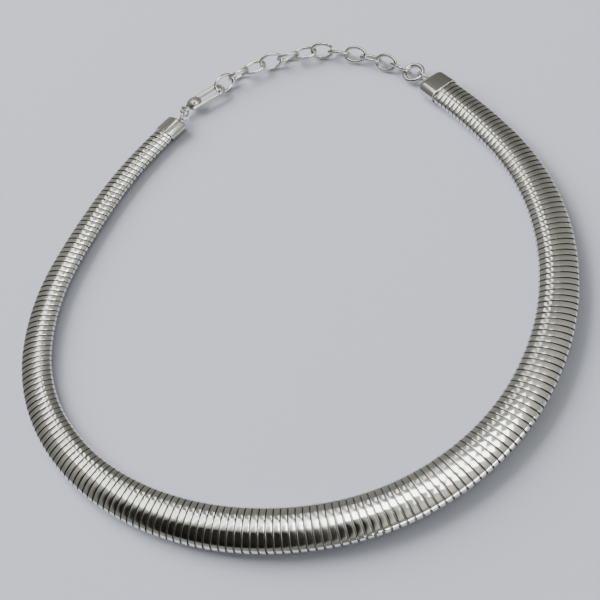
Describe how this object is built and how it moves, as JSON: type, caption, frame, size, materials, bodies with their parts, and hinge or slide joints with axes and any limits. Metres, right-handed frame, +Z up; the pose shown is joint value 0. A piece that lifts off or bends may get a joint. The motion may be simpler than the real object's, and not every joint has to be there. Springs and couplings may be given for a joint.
{
  "type": "choker necklace",
  "caption": "Polished choker of flattened tube wound from metal strip, wider at the front, with end caps, a lobster clasp and an extender chain.",
  "frame": {"origin": "on the floor, under the middle of the choker's bounding box", "axes": "+Z up from the floor the choker lies on, -Y toward the wide front, +X toward the cap that the end ring is joined to"},
  "size_m": [0.154, 0.1765, 0.0053],
  "materials": {
    "wound_strip": "polished silver-tone metal, a little worn",
    "cap_metal": "polished silver-tone metal",
    "chain_metal": "polished silver-tone wire and castings"
  },
  "bodies": {
    "choker": {"wound_band_01": "wound_strip", "wound_band_02": "wound_strip", "wound_band_03": "wound_strip", "wound_band_04": "wound_strip", "wound_band_05": "wound_strip", "wound_band_06": "wound_strip", "wound_band_07": "wound_strip", "wound_band_08": "wound_strip", "wound_band_09": "wound_strip", "wound_band_10": "wound_strip", "wound_band_11": "wound_strip", "wound_band_12": "wound_strip", "wound_band_13": "wound_strip", "left_cap": "cap_metal", "right_cap": "cap_metal", "cap_ring": "chain_metal", "clasp_ring": "chain_metal", "clasp_body": "chain_metal", "clasp_pin": "chain_metal", "link_01": "chain_metal", "link_02": "chain_metal", "link_03": "chain_metal", "link_04": "chain_metal", "link_05": "chain_metal", "link_06": "chain_metal", "link_07": "chain_metal", "link_08": "chain_metal", "link_09": "chain_metal", "link_10": "chain_metal", "link_11": "chain_metal", "link_12": "chain_metal", "end_ring": "chain_metal"},
    "lever": {"clasp_lever": "chain_metal"}
  },
  "joints": [
    {"name": "lever_hinge", "type": "hinge", "parent": "choker", "child": "lever", "pos_m": [-0.03526, 0.06685, 0.00225], "axis": [0, 0, 1], "range_deg": [0, 13], "stiffness_Nm_per_rad": 0.002, "springref_deg": -22.92}
  ]
}
